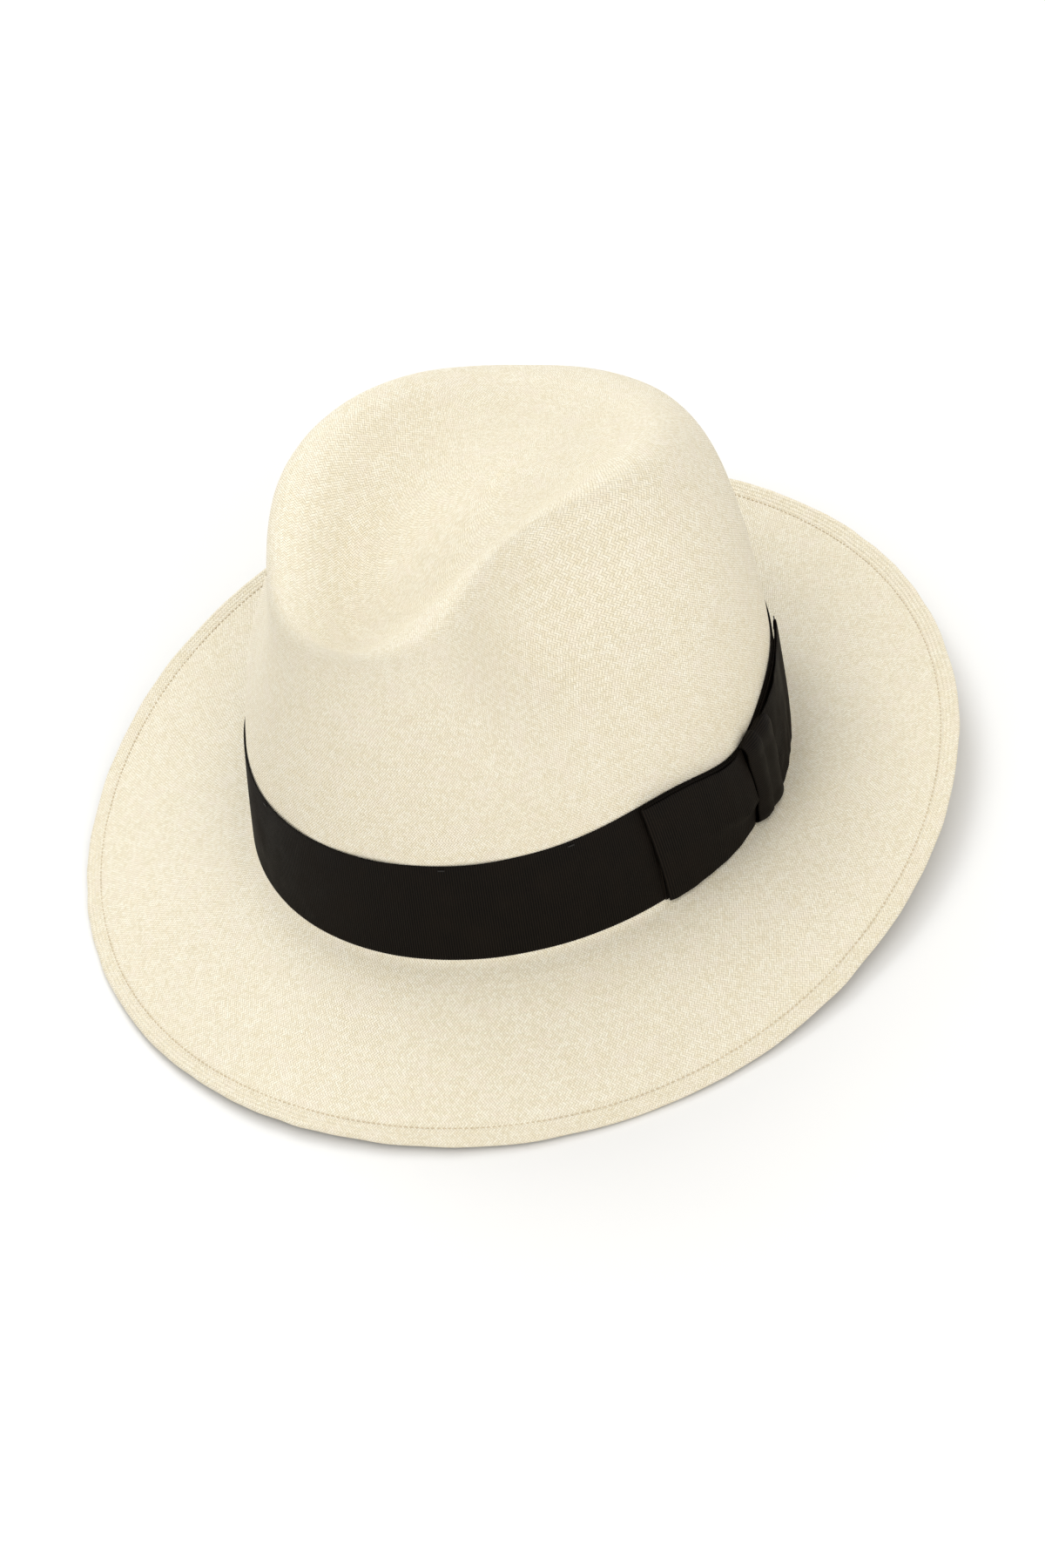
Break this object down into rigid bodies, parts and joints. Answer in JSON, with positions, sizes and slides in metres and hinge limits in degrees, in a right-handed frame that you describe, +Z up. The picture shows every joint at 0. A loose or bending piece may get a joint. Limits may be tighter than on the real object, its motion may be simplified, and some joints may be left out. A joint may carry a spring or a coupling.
{
  "type": "panama hat",
  "caption": "Panama hat of fine cream straw with a teardrop crown, pinched front, snap brim, black grosgrain ribbon with a flat side bow, and a leather sweatband.",
  "frame": {"origin": "middle of the hat's footprint, on the surface that the brim stands on", "axes": "+Z up from the surface the brim stands on, -Y towards the hat's front, +X towards the wearer's left, where the bow is"},
  "size_m": [0.295, 0.3126, 0.15],
  "materials": {
    "straw": "fine woven toquilla straw, natural cream",
    "hem_thread": "beige-brown sewing thread",
    "ribbon": "black grosgrain ribbon, fine ribs",
    "ribbon_thread": "black sewing thread",
    "sweatband_leather": "tan sheepskin, fine grain",
    "reed": "thin plastic reed",
    "tape": "woven binding tape",
    "sweatband_thread": "tan sewing thread",
    "sweatband_ribbon": "narrow black ribbon"
  },
  "bodies": {
    "root": {"woven_crown_wall": "straw", "woven_crown_top": "straw", "woven_brim": "straw", "brim_hem": "straw", "hem_stitching": "hem_thread", "ribbon_band": "ribbon", "ribbon_tacks": "ribbon_thread", "bow_under_layer": "ribbon", "bow_front_loop": "ribbon", "bow_rear_loop": "ribbon", "bow_knot": "ribbon", "bow_tack_thread": "ribbon_thread", "sweatband": "sweatband_leather", "sweatband_reed": "reed", "reed_tape": "tape", "sweatband_stitching": "sweatband_thread", "sweatband_rear_seam": "sweatband_thread", "sweatband_bow": "sweatband_ribbon"}
  },
  "joints": []
}
